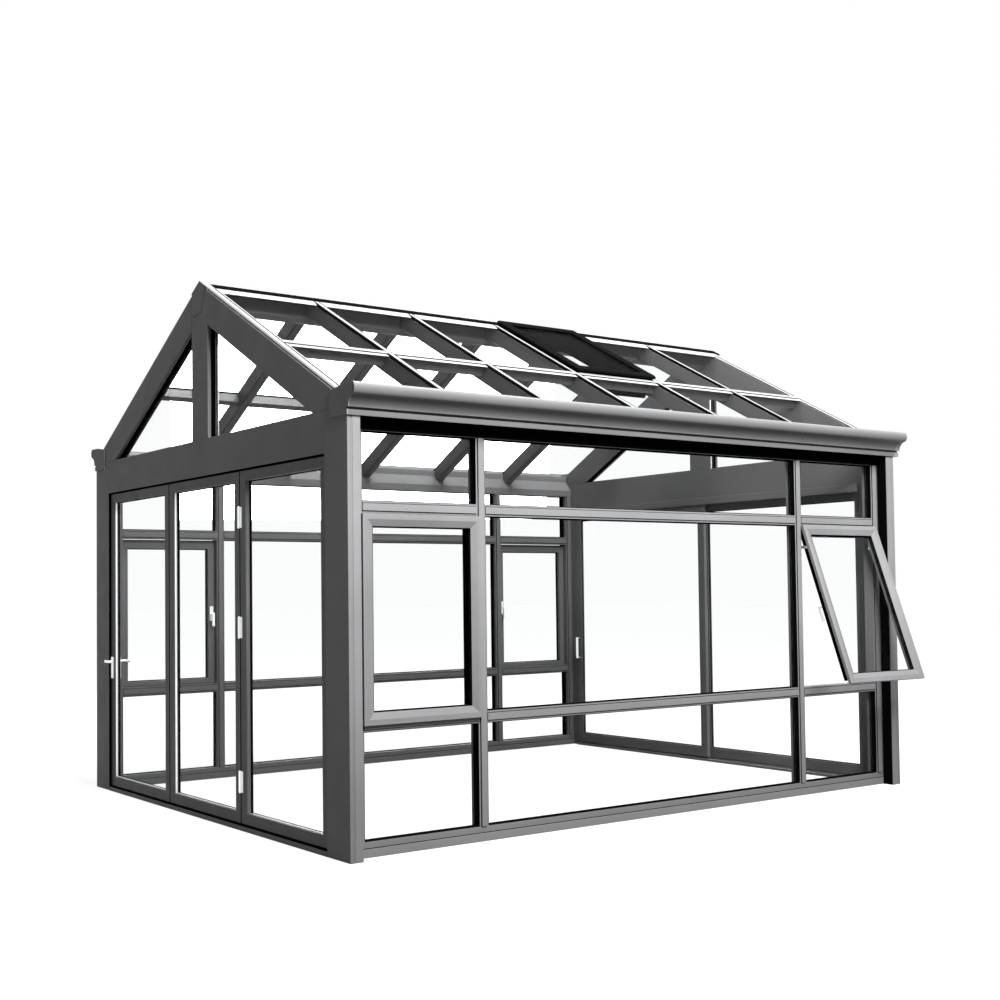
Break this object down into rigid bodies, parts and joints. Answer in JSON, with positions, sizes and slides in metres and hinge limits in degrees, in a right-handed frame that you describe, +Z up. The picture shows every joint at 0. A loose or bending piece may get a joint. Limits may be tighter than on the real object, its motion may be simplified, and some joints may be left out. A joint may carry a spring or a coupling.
{
  "type": "glass greenhouse",
  "caption": "Walk-in glass greenhouse with a pitched glazed roof, coated aluminium frame, folding door in one gable, sliding door in the other and hinged side windows.",
  "frame": {"origin": "centre of the whole box at ground level, which lies a little behind the middle of the plan because the open front window sticks out", "axes": "+X along the ridge from the folding-door gable to the sliding-door gable, +Y from the front long wall with the open window to the back wall, +Z up"},
  "size_m": [4.896, 4.4264, 3.6405],
  "materials": {
    "frame_coat": "charcoal powder coat, fine satin",
    "roof_window_coat": "black powder coat, satin",
    "clear_glass": "clear float glass",
    "handle_metal": "satin silver",
    "stay_steel": "brushed",
    "roller_plastic": "dark nylon"
  },
  "bodies": {
    "house": {"back_left_sash": "frame_coat", "back_right_sash": "frame_coat", "corner_posts": "frame_coat", "eaves_beams": "frame_coat", "fixed_leaf": "frame_coat", "fixed_leaf_glass": "clear_glass", "folding_door_glass": "clear_glass", "folding_door_hinges": "handle_metal", "folding_door_levers": "handle_metal", "folding_door_threshold": "frame_coat", "folding_leaf_1": "frame_coat", "folding_leaf_2": "frame_coat", "folding_leaf_3": "frame_coat", "front_left_sash": "frame_coat", "front_right_sash": "frame_coat", "gable_beams": "frame_coat", "gable_glass": "clear_glass", "gable_rafters": "frame_coat", "glazing_bars": "frame_coat", "gutter_beds": "frame_coat", "gutter_end_plates": "frame_coat", "gutter_mouldings": "frame_coat", "king_posts": "frame_coat", "purlins": "frame_coat", "rafters": "frame_coat", "ridge_beam": "frame_coat", "ridge_cap": "frame_coat", "roof_glass": "clear_glass", "skylight_curb": "roof_window_coat", "skylight_glass": "clear_glass", "skylight_sash": "roof_window_coat", "sliding_door_guides": "frame_coat", "sliding_door_head": "frame_coat", "sliding_door_track": "frame_coat", "wall_glass": "clear_glass", "wall_sills": "frame_coat", "wall_transoms": "frame_coat", "wall_uprights": "frame_coat", "window_glass": "clear_glass", "window_handles": "handle_metal", "window_stays": "stay_steel"},
    "sliding_leaf": {"sliding_leaf": "frame_coat", "sliding_leaf_glass": "clear_glass", "sliding_leaf_rollers": "roller_plastic", "sliding_leaf_pull": "handle_metal"}
  },
  "joints": [
    {"name": "sliding_leaf_slide", "type": "slide", "parent": "house", "child": "sliding_leaf", "axis": [0, -1, 0], "range_m": [0, 1.68]}
  ]
}
